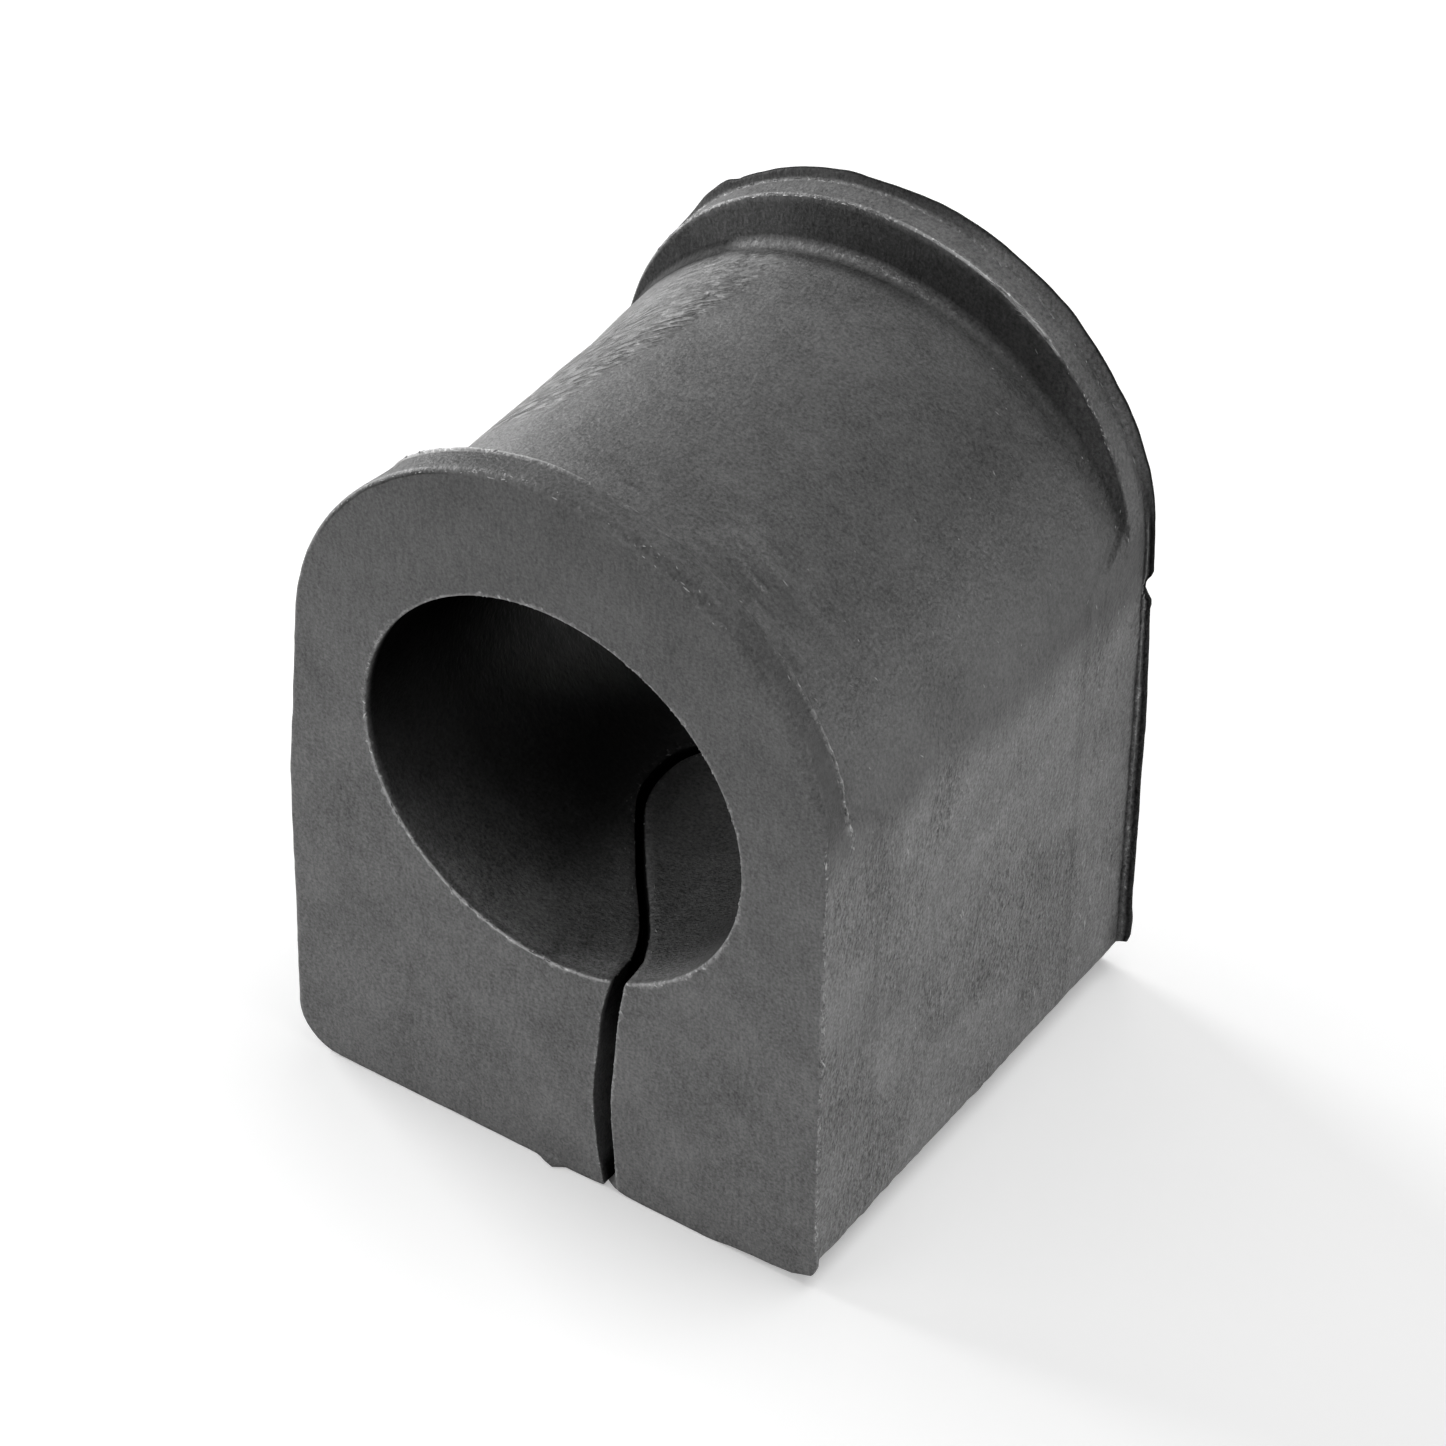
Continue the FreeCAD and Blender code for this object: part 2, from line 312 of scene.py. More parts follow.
def slit_edge(z, y, side):
    """x of the slit's left (-1) or right (1) edge at height z and place y along the bore."""
    above = z - FOOT_Z
    left, right = table(SLIT_LEFT, above), table(SLIT_RIGHT, above)
    middle, half = (left + right) / 2, (right - left) / 2
    flat = np.ones(np.shape(y * z))
    p = np.stack([3.0 * side * flat, y * flat, z * flat], -1)
    rough = 0.04 * fbm(p, (1, 1, 1.1), 3, 40)
    deep = y - FRONT_Y
    skin = (1 - step(0.3, 1.5, above)) * step(0.02, 0.22, deep) * (1 - step(2.2, 4, deep)) * (side > 0)
    return middle + slit_shift(y) + side * half * slit_scale(y) * (1 - 1.7 * skin) + rough


def web_point(x, z):
    """Where the corner's points go on the web: along its lower edge, then up its side."""
    angle = np.arctan2(z - (FOOT_Z + CORNER_R), x - (FLANK_X - CORNER_R))
    share = (angle + math.pi / 2) / (math.pi / 2)
    low = np.clip(share / WEB_LOW_SHARE, 0, 1)
    up = np.clip((share - WEB_LOW_SHARE) / (1 - WEB_LOW_SHARE), 0, 1)
    tip_x, tip_z = WEB_EDGE[-2]
    start_x = FLANK_X - CORNER_R
    x_web = start_x + (tip_x - start_x) * low + (FLANK_X - tip_x) * np.minimum(3 * up, 1)
    z_web = FOOT_Z + np.where(up > 0, tip_z + (CORNER_R - tip_z) * up, lookup(WEB_EDGE, x_web))
    return x_web, z_web


def outline_at(y):
    """Outline points and normals for y of shape (..., n_outer)."""
    t = np.clip((y - FRONT_Y) / (REAR_Y - FRONT_Y), 0, 1)
    x, z, nx, nz = (a + (b - a) * t for a, b in zip(front_ring, rear_ring))
    s = np.hypot(nx, nz)
    # the foot's points follow the slit
    zf = np.full(np.shape(y), FOOT_Z + 0)
    x = x + foot_right * (slit_edge(zf, y, 1) - SLIT_RIGHT[0][1])
    x = x + foot_left * (slit_edge(zf, y, -1) - SLIT_LEFT[0][1])
    # the web in the front plane
    web = 1 - step(WEB_Y - 0.08, WEB_Y + 0.14, y - FRONT_Y)
    x_web, z_web = web_point(x, z)
    x = np.where(on_corner, x + (x_web - x) * web, x)
    z = np.where(on_corner, z + (z_web - z) * web, z)
    raised = lookup(WEB_EDGE, x) * web
    z = np.where(place < START[1], z + raised, z)
    # the slit's lower corners are a little rounded off at the front
    near = 1 - step(0.2, 1.6, y - FRONT_Y)
    z = z + np.where(place < START[1], 0.2 * np.exp(-np.maximum(x - 4.25, 0) / 0.45) * near, 0)
    z = z + np.where(place >= START[7], 0.1 * np.exp(-np.maximum(3.4 - x, 0) / 0.5) * near, 0)
    return x, z, nx / s, nz / s


RISE = WAIST_TOP - WAIST_RUN_OUT
WAIST_R = ((FLANK_X - SHIFT) ** 2 + RISE ** 2) / (2 * RISE)
WAIST_C = (SHIFT, WAIST_TOP - WAIST_R)


def waist_angle(x, z):
    """Angle from +X about the waist's axis, in degrees."""
    return np.degrees(np.arctan2(z - WAIST_C[1], x - WAIST_C[0]))


def waist_depth(x, z, nx, nz, y):
    """How far the waist lies under the collars' outline, along the outline's normal."""
    px, pz = x - WAIST_C[0], z - WAIST_C[1]
    along = px * nx + pz * nz
    inside = WAIST_R ** 2 - px ** 2 - pz ** 2 + along ** 2
    depth = along - np.sqrt(np.maximum(inside, 0))
    depth = np.where(z > WAIST_C[1], depth, -1)
    soft = 0.05
    depth = np.maximum(0, 0.5 * (depth + np.sqrt(depth ** 2 + soft ** 2)) - 0.5 * soft)
    angle = waist_angle(x, z)
    around = step(*SAG_IN, angle) * (1 - step(*SAG_OUT, angle))
    return depth + SAG * around * lookup(SAG_ALONG, y) * step(0.1, 0.6, depth)


# Stations along the bore
PLAIN, FRONT_EDGE, FRONT_ROOT, FLOOR, REAR_ROOT, REAR_WALL, REAR_EDGE, BAND, RIM, FIN = range(10)


def stations(depth, rim, edge_r):
    """(y, inset, tag) at each station, for outline points where the waist is depth deep."""
    y0, y1 = FRONT_Y + COLLAR, REAR_Y - COLLAR
    front = np.minimum(edge_r, depth * 0.3)
    edge = np.minimum(REAR_EDGE_R, depth * 0.3)
    root = np.minimum(ROOT_R, depth * 0.5)
    wall = depth - root
    ys, cuts, tags = [], [], []

    def add(y, cut, tag):
        ys.append(np.broadcast_to(y, depth.shape))
        cuts.append(np.broadcast_to(cut, depth.shape))
        tags.append(tag)

    for f in np.linspace(0, 1, 8)[1:]:
        add(FRONT_Y + rim + (COLLAR - rim - front) * f, 0 * depth, PLAIN)
    for a in np.radians([25, 50, 72, 90]):
        add(y0 - front * (1 - np.sin(a)), front * (1 - np.cos(a)), FRONT_EDGE)
    for f in np.linspace(0, 1, 6)[1:]:
        add(y0 + WALL_LEAN * f, front + (wall - front) * f, FRONT_ROOT)
    for a in np.radians([18, 36, 54, 72, 90]):
        add(y0 + WALL_LEAN + root * (1 - np.cos(a)), wall + root * np.sin(a), FRONT_ROOT)
    lo, hi = y0 + WALL_LEAN + root, y1 - WALL_LEAN - root
    for f in np.linspace(0, 1, N_FLOOR)[1:-1]:
        add(lo + (hi - lo) * f, depth, FLOOR)
    for a in np.radians([90, 75, 60, 45, 30, 15]):
        add(y1 - WALL_LEAN - root * (1 - np.cos(a)), wall + root * np.sin(a), REAR_ROOT)
    for f in np.linspace(1, 0, 8)[:-1]:
        add(y1 - WALL_LEAN * f, edge + (wall - edge) * f, REAR_WALL)
    for a in np.radians([90, 70, 48, 24]):
        add(y1 + edge * (1 - np.sin(a)), edge * (1 - np.cos(a)), REAR_EDGE)
    for f in np.linspace(0, 1, 9):
        add(y1 + edge + (COLLAR - FLASH_Y - edge) * f, 0 * depth, BAND)
    return np.array(ys), np.array(cuts), tags


def smooth(values, reach=13):
    return np.convolve(np.pad(values, reach // 2, mode="edge"), np.ones(reach) / reach, "valid")


def rows():
    """All stations but the fin's: y and inset along the normal, one row a station, and their tags.

    The last value says, for each point of the outline, how far the waist is stepped down there.
    """
    on_arch = np.clip(front_angle, 0, 190)
    rim = np.where(on_foot | on_corner, 0.12, lookup(RIM_RADIUS, on_arch))
    rim = smooth(np.where(on_flank, 0.16, rim))
    # the rim's rounding varies
    p = np.stack([front_x, 0 * rim, front_z], -1)
    rim = rim * (1 + 0.25 * fbm(p, 0.9, 2, 71))
    x, z, nx, nz = outline_at(np.zeros(n_outer))
    depth = waist_depth(x, z, nx, nz, 0)
    ys, cuts, tags = stations(depth, rim, lookup(EDGE_RADIUS, front_angle))
    share = cuts / np.maximum(depth, 1e-6)
    m = len(ys)
    even = FRONT_Y + rim + (REAR_Y - FLASH_Y - FRONT_Y - rim) * (np.arange(1, m + 1) / m)[:, None]
    stepped = step(0.05, 0.7, depth)
    ys = ys * stepped + even * (1 - stepped)
    ys[-1] = REAR_Y - FLASH_Y
    y_rows, inset_rows = [], []
    for a in np.radians([0, 22, 45, 68, 90]):
        y_rows.append(FRONT_Y + rim * (1 - np.cos(a)))
        inset_rows.append(rim * (1 - np.sin(a)))
    for y, part in zip(ys, share):
        x, z, nx, nz = outline_at(y)
        inset = part * waist_depth(x, z, nx, nz, y)
        # the front collar's rear edge is worn down on the upper left
        back = np.clip((y - FRONT_Y - 0.3) / (COLLAR - 0.3), 0, 1) ** 1.4 * (y < FRONT_Y + COLLAR + 0.1)
        worn = step(128, 137, front_angle) * (1 - step(144, 152, front_angle))
        y_rows.append(y)
        inset_rows.append(inset + 0.4 * worn * back * (part < 0.3))
    tags = [RIM] * 5 + tags
    lips = ((FRONT_EDGE, FRONT_LIP, FRONT_LIP_SHARES), (REAR_EDGE, REAR_LIP, REAR_LIP_SHARES))
    for tag, lip_height, shares in lips:
        height = lookup(lip_height, front_angle) * stepped * (1 + 0.5 * fbm(p, 0.7, 2, 19))
        for k, share in zip([k for k, t in enumerate(tags) if t == tag], shares):
            inset_rows[k] = inset_rows[k] - height * share
    return np.array(y_rows), np.array(inset_rows), tags, stepped


def fin_height(x, z):
    """How far the rear fin stands out at each point of the rear outline."""
    cx, cz, radius = arch_of(1)
    angle = np.degrees(np.arctan2(z - cz, x - cx))
    angle = np.where(angle < -90, angle + 360, angle)
    height = table(FIN_HEIGHT, np.clip(angle, -8, 190))
    right = x > 0
    low = z < cz
    # right flank: whole below the torn place, a tooth over it, then the notch
    height = np.where(right & low, lookup(FIN_FLANK, z), height)
    left = np.interp(z, [-24.9, -24.2, -20, cz], [0, 0.3, 0.4, 0.3])
    height = np.where(~right & low, left, height)
    return np.where(z < -24.9, 0, height)


y_grid, inset_grid, tags, stepped = rows()
x, z, nx, nz = outline_at(y_grid)
outer = np.stack([x - nx * inset_grid, y_grid, z - nz * inset_grid], -1)

# the rear fin
x, z, nx, nz = outline_at(np.full(n_outer, REAR_Y - FLASH_Y))
rag = fbm(np.stack([x, z, 0 * x], -1), 1.1, 3, 90)
height = fin_height(x, z) * (1 + 0.09 * rag)
# the fin's rows: share of its height, y from its front side
FIN_SECTION = ((0.35, 0.02), (0.7, 0.05), (0.96, 0.1), (1, 0.2), (0.97, 0.34), (0.9, 0.4))
share, back = np.array(FIN_SECTION).T[:, :, None]
y = REAR_Y - FLASH_Y + back + 0 * x
outer = np.concatenate([outer, np.stack([x + nx * height * share, y, z + nz * height * share], -1)])
tags = np.array(tags + [FIN] * len(FIN_SECTION))
n_rows = len(outer)

# a nib of flash on the front lower edge, left of the slit
nib_x = outer[0, :, 0] - NIB_X
nib = np.clip(1 - np.where(nib_x < 0, -nib_x / NIB_WIDTHS[0], nib_x / NIB_WIDTHS[1]), 0, 1)
nib = NIB_HEIGHT * nib ** 1.3 * (place >= START[7])
for k in range(4):
    outer[k, :, 1] -= nib * (1 - 0.25 * k)

# Bore and slit
# y of the bore's rows: three close to the front rim, then even
y_in = np.concatenate([[FRONT_Y, FRONT_Y + 0.03], np.linspace(FRONT_Y + 0.12, REAR_Y, n_rows - 2)])
rim_out = np.zeros(n_rows)
rim_out[:3] = (0.12, 0.035, 0)


def lip(y, side):
    """Where the slit's edge meets the bore, row by row."""
    z = np.full(y.shape, -11.4)
    for _ in range(8):
        x = slit_edge(z, y, side) + side * 0.5 * rim_out
        z = -np.sqrt(np.maximum((BORE_R + rim_out) ** 2 - x ** 2, 1))
    return x, z


def wall(side):
    """Rows of points up one wall of the slit, foot to lip."""
    _, lz = lip(y_in, side)
    foot_col = 0 if side > 0 else -1
    y_foot = outer[:, foot_col, 1]
    f = np.concatenate([[0], np.linspace(0.006, 0.994, N_WALL - 2), [1]])
    z0 = outer[:, foot_col, 2][:, None] + 0.09
    z = z0 + (lz[:, None] - 0.1 - z0) * f
    s = f * f * (3 - 2 * f)
    y = y_foot[:, None] * (1 - s) + y_in[:, None] * s
    x = slit_edge(z, y, side) + side * 0.5 * rim_out[:, None]
    return np.stack([x, y, z], -1)


def bore_rows():
    """Rows of points round the bore, left lip to right lip, over the top."""
    xl, zl = lip(y_in, -1)
    xr, zr = lip(y_in, 1)
    a_left = np.arctan2(zl, xl) + 2 * math.pi - 0.1 / BORE_R
    a_right = np.arctan2(zr, xr) + 0.1 / BORE_R
    f = np.linspace(0, 1, N_BORE)
    a = a_left[:, None] + (a_right - a_left)[:, None] * f
    rag = fbm(np.stack([6 * np.cos(a), 6 * np.sin(a), 0 * a + 3], -1), 0.5, 2, 57)
    r = BORE_R + rim_out[:, None] * (1 + 0.3 * rag)
    y = y_in[:, None] + 0 * a
    return np.stack([r * np.cos(a), y, r * np.sin(a)], -1)


left_wall = wall(-1)
right_wall = wall(1)[:, ::-1]
grid = np.concatenate([outer, left_wall, bore_rows(), right_wall], 1)
n_ring = grid.shape[1]
OUTER, WALL_LEFT, BORE, WALL_RIGHT = range(4)
kind = np.repeat([OUTER, WALL_LEFT, BORE, WALL_RIGHT], [n_outer, N_WALL, N_BORE, N_WALL])


def grid_normals(g):
    along = np.empty_like(g)
    along[1:-1] = g[2:] - g[:-2]
    along[0] = g[1] - g[0]
    along[-1] = g[-1] - g[-2]
    round_ = np.roll(g, -1, 1) - np.roll(g, 1, 1)
    n = np.cross(round_, along)
    return n / np.maximum(np.linalg.norm(n, axis=-1, keepdims=True), 1e-9)


normals = grid_normals(grid)
if normals[40, START[3], 0] < 0:
    normals = -normals

# Relief: low undulation all over, firmer wrinkles on the upper left, pitted patches on the right
gx, gy, gz = grid[..., 0], grid[..., 1], grid[..., 2]
angle = waist_angle(gx, gz)
ring_angle = np.concatenate([front_angle, np.full(n_ring - n_outer, -90)])
tag_col = tags[:, None]
rows_of = [np.nonzero(tags == tag)[0] for tag in range(FIN + 1)]
on_skin = (kind == OUTER)[None, :]
on_floor = tag_col == FLOOR
past_inner = step(-2, 3, angle - lookup(WRINKLE_FROM, gy))
past_outer = step(-2, 14, angle - lookup(WRINKLE_TO, gy))
left_zone = past_inner * (1 - past_outer) * on_skin * on_floor
patchy = step(-0.35, 0.2, fbm(grid, (2.6, 3, 2.6), 2, 11))
wrinkle = left_zone * (0.5 + 0.5 * patchy) * step(-5.5, -3, gy)
wrinkle *= lookup(WRINKLE_ALONG, gy) * (1 - 0.6 * step(128, 146, angle))
right_zone = step(8, 16.5, gx) * on_skin
pits = right_zone * step(-0.2, 0.5, fbm(grid, (5, 4, 7), 2, 23))
relief = 0.045 * fbm(grid, 8, 2, 1) + 0.012 * fbm(grid, 1.6, 3, 5)
relief += wrinkle * 0.04 * fbm(grid, (1, 0.6, 1), 1, 31)
relief += right_zone * 0.05 * fbm(grid, (3, 2.2, 3.5), 2, 37)
relief += (right_zone * 0.03 + pits * 0.06) * fbm(grid, (1, 0.55, 1.1), 2, 41)


def groove(start, end, y_mid, breadth):
    """Share of a groove that runs round the arch at y_mid, from one angle to another."""
    faded_in = step(start - SCRATCH_END, start, ring_angle)
    faded_out = step(end, end + SCRATCH_END, ring_angle)
    return faded_in * (1 - faded_out) * np.exp(-((gy - y_mid) / breadth) ** 2) * on_skin


for start, end, y_mid, depth in SCRATCHES:
    relief -= depth * groove(start, end, y_mid, SCRATCH_WIDTH)
# soft flow marks round the arch, behind the front collar
arc_place = np.zeros(n_ring)
arc_place[1:n_outer] = np.cumsum(np.hypot(np.diff(front_x), np.diff(front_z)))
arc = np.stack([np.broadcast_to(arc_place, gy.shape), gy, 0 * gy], -1)
flow_zone = np.exp(-((ring_angle - FLOW_ANGLE[0]) / FLOW_ANGLE[1]) ** 2)
flow_zone = flow_zone * np.exp(-((gy - FLOW_Y[0]) / FLOW_Y[1]) ** 2) * on_skin * on_floor
flow = flow_zone * fbm(arc, (2.4, 0.55, 1), 2, 77)
relief += 0.1 * flow
relief = np.where(on_skin, relief, 0.4 * relief)
relief[tags == FIN] *= 0.4
body = grid + normals * relief[..., None]
body[0] = grid[0] + (normals[0] * relief[0][..., None]) * np.array([1, 0, 1])

# Wear and painted highlights: how pale each point is
front_line = lookup(WEAR_FRONT_EDGE, ring_angle)
rear_line = lookup(REAR_EDGE_WEAR_AND_GLINT, ring_angle)
edge_wear_and_highlight = np.where((tag_col == FRONT_EDGE) & on_skin, front_line, 0)
edge_wear_and_highlight[rows_of[PLAIN][-1]] = 0.5 * front_line * on_skin[0]
edge_wear_and_highlight = np.where((tag_col == REAR_EDGE) & on_skin, rear_line, edge_wear_and_highlight)
edge_wear_and_highlight[rows_of[REAR_EDGE][0]] *= 0.1
# painted glint runs onto the band's first row where the rear edge's table is above 2
edge_wear_and_highlight[rows_of[BAND][0]] = 0.8 * np.clip(rear_line - 2, 0, 4) * on_skin[0]
# painted highlight in the rear hollow's rounding, taken off where the hollow is in shade
root_share = np.zeros(n_rows)
root_share[rows_of[REAR_ROOT]] = (0, 0.5, 1, 0.9, 0.3, 0)
root_highlight = lookup(ROOT_HIGHLIGHT, ring_angle) * root_share[:, None]
edge_wear_and_highlight = np.where((tag_col == REAR_ROOT) & on_skin, root_highlight, edge_wear_and_highlight)
edge_wear_and_highlight[:, :n_outer] *= step(0.3, 0.8, stepped)
root_in_shade = step(*ROOT_IN_SHADE, ring_angle)
edge_wear_and_highlight[tags == REAR_ROOT] *= 1 - root_in_shade
rim_wear = np.where(on_skin[0], lookup(WEAR_RIM, ring_angle), 0)
rim_wear[START[2]:START[3]] = WEAR_FLANK_RIM
rim_wear[:START[2]] = WEAR_FOOT_RIM
rim_wear[START[6]:n_outer] = WEAR_FOOT_RIM
for k, share in enumerate((0.3, 0.8, 1, 0.3, 0)):
    edge_wear_and_highlight[k] = np.where(kind == OUTER, rim_wear * share, edge_wear_and_highlight[k])
bore_turn = np.degrees(np.arctan2(gz, gx)) % 360
# the bore's front rim: wear, with painted highlight
bore_rim = lookup(BORE_RIM_WEAR_AND_HIGHLIGHT, bore_turn[0])
for k, share in enumerate((0.9, 1, 0.35)):
    edge_wear_and_highlight[k] = np.where(kind == BORE, bore_rim * share, edge_wear_and_highlight[k])
    edge_wear_and_highlight[k] = np.where(kind == WALL_LEFT, 0.6 * share, edge_wear_and_highlight[k])
    edge_wear_and_highlight[k] = np.where(kind == WALL_RIGHT, 1.3 * share, edge_wear_and_highlight[k])
# the slit's rims inside the bore
first_bore = n_outer + N_WALL
last_bore = first_bore + N_BORE - 1
edge_wear_and_highlight[3:, [first_bore - 1, first_bore, last_bore, last_bore + 1]] = 0.45
# the fin is pale where it leaves the band, on the flank on its own first row
edge_wear_and_highlight[tags == FIN] = 0.0
fin_rows = rows_of[FIN]
last_band = rows_of[BAND][-1]
by_flank = (1 - step(6, 14, ring_angle)) * on_skin[0]
edge_wear_and_highlight[last_band] = np.where(on_skin[0], lookup(WEAR_FIN, ring_angle), 0)
edge_wear_and_highlight[fin_rows[0]] = 2.1 * by_flank * lookup(WEAR_FIN_FLANK, gz[fin_rows[0]])

# Painted shade: how dark each point is
full_step = np.zeros(n_ring)
full_step[:n_outer] = step(0.4, 1, stepped)
painted_shade = np.zeros(gy.shape)
# painted shade on the fin, on the band's last row beside it and at the fin's foot
painted_shade[tags == FIN] = 1.0
up_arch = step(*FIN_DARK, ring_angle)
for k, low_share, high_share in zip(fin_rows, (0, 0.2, 0.6), (0.35, 0.6, 0.85)):
    painted_shade[k] = low_share + (high_share - low_share) * up_arch
painted_shade[fin_rows[1:3]] = np.maximum(painted_shade[fin_rows[1:3]], by_flank)
painted_shade[last_band] = 0.7 * by_flank
fin_foot = step(-21.5, -24.5, gz) * step(13.2, 14.9, gy) * step(14, 16, gx)
painted_shade = np.maximum(painted_shade, 0.6 * fin_foot * on_skin * (tag_col != FIN))
# painted shade in the creases at both ends of the waist
floor_rows = rows_of[FLOOR]
for k, share in CREASE_PAINTED_SHADE_ROWS:
    painted_shade[floor_rows[k]] = share * np.where(on_skin[0], lookup(CREASE_PAINTED_SHADE, ring_angle), 0)
# painted shade on the rear collar's wall and in the hollow at its foot
painted_shade[tags == REAR_WALL] = lookup(WALL_PAINTED_SHADE, ring_angle) * full_step
painted_shade[tags == REAR_ROOT] = 0.85 * root_in_shade * full_step
painted_shade[floor_rows[-1]] = np.maximum(painted_shade[floor_rows[-1]], 0.95 * root_in_shade * full_step)
# painted shade in the bore, stronger higher up, and in the slit near the bore and near the foot
in_bore = (kind == BORE)[None, :] * step(-15.6, -15.1, gy)
painted_shade = np.maximum(painted_shade, in_bore * step(-9, 3, gz))
in_slit = ((kind == WALL_LEFT) | (kind == WALL_RIGHT))[None, :] * step(-15.7, -15.2, gy)
painted_shade = np.maximum(painted_shade, in_slit * step(-20, -13, gz))
painted_shade = np.maximum(painted_shade, in_slit * step(-25, -25.8, gz))
# painted shade along the lower edges and the foot
low_edge = np.zeros(n_ring)
low_edge[START[1]:START[2]] = 1 - step(0.3, 0.8, np.arange(COUNTS[1]) / COUNTS[1])
low_edge[START[6]:START[7]] = step(0.3, 0.8, np.arange(COUNTS[6]) / COUNTS[6])
low_edge[:START[1]] = 1
low_edge[START[7]:n_outer] = 1
painted_shade = np.maximum(painted_shade, 0.8 * low_edge)
painted_shade[:2] = np.where(low_edge > 0, 0.35 * low_edge, painted_shade[:2])
# painted shade in the front crease
crease = lookup(FRONT_CREASE_PAINTED_SHADE, ring_angle) * on_skin[0]
painted_shade[0], painted_shade[1] = np.maximum(painted_shade[0], crease), np.maximum(painted_shade[1], 0.6 * crease)
# painted shade in each scratch's groove, with a pale line beside it
for start, end, y_mid, _ in SCRATCHES:
    painted_shade = np.maximum(painted_shade, 0.4 * groove(start, end, y_mid, SCRATCH_WIDTH))
    edge_wear_and_highlight += 0.6 * groove(start, end, y_mid - 0.3, 0.12)

# Painted light and shade, with flow marks and mottling: lighter on the right flank below a slanting line,
# darker on the arch over it
shade_line = 3.0 - 2.6 * (gy + 13.75) / 27.5 + 1.3 * fbm(grid, (5, 4, 5), 2, 61)
over_line = step(-2, 2, gz - shade_line)
to_right = lookup(ARCH_SHADE_BY_ANGLE, angle) * (1 + 0.5 * step(-2, 12, gy))
# painted light on the right flank and on the wrinkled left zone, painted shade on the arch
film_and_painted_light = 1 + lookup(FLANK_PAINTED_LIGHT, gy) * step(14, 16.5, gx) * (1 - over_line)
film_and_painted_light += 0.26 * left_zone - ARCH_PAINTED_SHADE * over_line * to_right
# painted shade on the front collar
on_collar = (gy < FRONT_Y + COLLAR) * lookup(COLLAR_PAINTED_SHADING, ring_angle)
film_and_painted_light = np.where(on_skin, film_and_painted_light - ARCH_PAINTED_SHADE * on_collar, 1)
# painted light and shade on the rear band
on_band = (tag_col == BAND) & on_skin
film_and_painted_light = np.where(on_band, film_and_painted_light + (lookup(BAND_PAINTED_SHADING, ring_angle) - film_and_painted_light) * full_step, film_and_painted_light)
# painted light and shade in the bore, lighter low down and near the front
left_side = 1 - step(248, 270, bore_turn)
fall = lookup(BORE_SHADE_FALL, gy)
film_and_painted_light = np.where(in_bore > 0, lookup(BORE_PAINTED_SHADING, gz) * (1 + (fall - 1) * left_side), film_and_painted_light)
# flow marks and random mottling, the rubber's own tone
film_and_painted_light = film_and_painted_light * (1 + np.where(flow > 0, 1.7, 0.5) * flow + 0.065 * fbm(grid, (3.5, 3.5, 3.5), 3, 83))
# painted light on the rear collar's wall
on_wall = (tag_col == REAR_WALL) & on_skin
film_and_painted_light = np.where(on_wall, film_and_painted_light * (1 + (lookup(WALL_PAINTED_LIGHT, ring_angle) - 1) * full_step), film_and_painted_light)
# painted light on the fin
fin_light = step(*FIN_LIT, ring_angle) * (1 - up_arch)
for k, gain in zip(fin_rows, (2.6, 2.2, 1.2)):
    film_and_painted_light[k] *= 1 + gain * fin_light
# painted light on the front face, lighter towards the foot
film_and_painted_light[:3] = lookup(FACE_PAINTED_LIGHT, gz[:3])
film_and_painted_light[3] = 0.6 * film_and_painted_light[2] + 0.4 * film_and_painted_light[4]


# Mesh
def cap(ring, spacing, y_face, seed):
    """Points and triangles that close an end face, with the ring's points first."""
    flat = ring[:, (0, 2)]
    n = len(flat)
    xs = np.arange(flat[:, 0].min() + spacing / 2, flat[:, 0].max(), spacing)
    zs = np.arange(flat[:, 1].min() + spacing / 2, flat[:, 1].max(), spacing * 0.87)
    gx, gz = np.meshgrid(xs, zs)
    gx = gx + (np.arange(len(zs)) % 2)[:, None] * spacing / 2
    pts = np.stack([gx.ravel(), gz.ravel()], -1)
    # a second ring just inside the first, so that the wear stays on the rim
    chord = np.roll(flat, -1, 0) - np.roll(flat, 1, 0)
    side = np.stack([-chord[:, 1], chord[:, 0]], -1)
    side /= np.maximum(np.linalg.norm(side, axis=1, keepdims=True), 1e-9)
    area = (flat[:, 0] * np.roll(flat[:, 1], -1) - np.roll(flat[:, 0], -1) * flat[:, 1]).sum()
    close = flat + side * math.copysign(RIM_LINE, area)
    pts = np.concatenate([close, pts])
    is_close = np.arange(len(pts)) < n
    # inside the ring, and not too near it
    inside = np.zeros(len(pts), bool)
    for (x0, z0), (x1, z1) in zip(flat, np.roll(flat, -1, 0)):
        hit = ((z0 > pts[:, 1]) != (z1 > pts[:, 1]))
        if z1 != z0:
            cross = x0 + (pts[:, 1] - z0) / (z1 - z0) * (x1 - x0)
            inside ^= hit & (pts[:, 0] < cross)
    near = np.full(len(pts), 1e9)
    for k in range(0, n, 64):
        d = np.hypot(pts[:, None, 0] - flat[None, k:k + 64, 0], pts[:, None, 1] - flat[None, k:k + 64, 1])
        near = np.minimum(near, d.min(1))
    keep = inside & np.where(is_close, near > RIM_LINE * 0.8, near > spacing * 0.55)
    pts, near = pts[keep], near[keep]
    everything = [Vector((float(p[0]), float(p[1]))) for p in np.concatenate([flat, pts])]
    edges = [(k, (k + 1) % n) for k in range(n)]
    _, _, faces, origin, _, _ = delaunay_2d_cdt(everything, edges, [], 1, 1e-7)
    first = {new: olds[0] for new, olds in enumerate(origin)}
    p = np.stack([pts[:, 0], np.full(len(pts), y_face), pts[:, 1]], -1)
    fade = step(0.1, 1.3, near)
    p[:, 1] += fade * (0.04 * fbm(p, 7, 2, seed) + 0.008 * fbm(p, 1.4, 3, seed + 9))
    return p, [tuple(first[v] for v in f) for f in faces]


